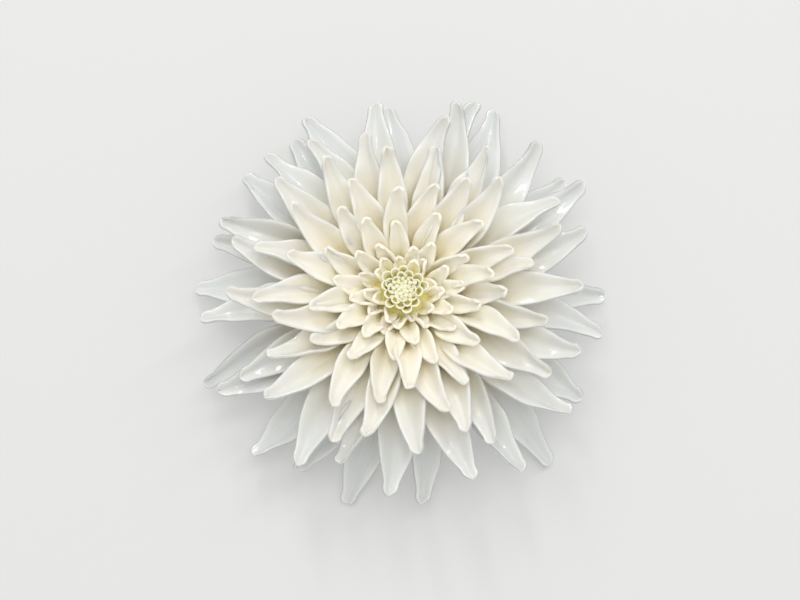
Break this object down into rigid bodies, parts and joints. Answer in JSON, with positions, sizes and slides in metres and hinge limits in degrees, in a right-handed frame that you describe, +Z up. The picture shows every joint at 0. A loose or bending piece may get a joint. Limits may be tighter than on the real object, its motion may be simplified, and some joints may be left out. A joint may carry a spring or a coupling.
{
  "type": "chrysanthemum flower",
  "caption": "White double chrysanthemum flower head as picked, with cupped ray petals in spiral layers round a pale yellow-green heart, green bracts and a short cut stem.",
  "frame": {"origin": "on the surface that the flower lies on, under the middle of the bloom's outline", "axes": "+Z up out of the heart of the bloom, +X and +Y across it, with the camera's view of the picture from above and -Y"},
  "size_m": [0.12, 0.1186, 0.0432],
  "materials": {
    "petal": "gloss",
    "heart": "satin",
    "bract": "satin",
    "stalk": "satin"
  },
  "bodies": {
    "root": {"ray_petals": "petal", "disc_florets": "heart", "involucre": "bract", "stem": "stalk"}
  },
  "joints": []
}
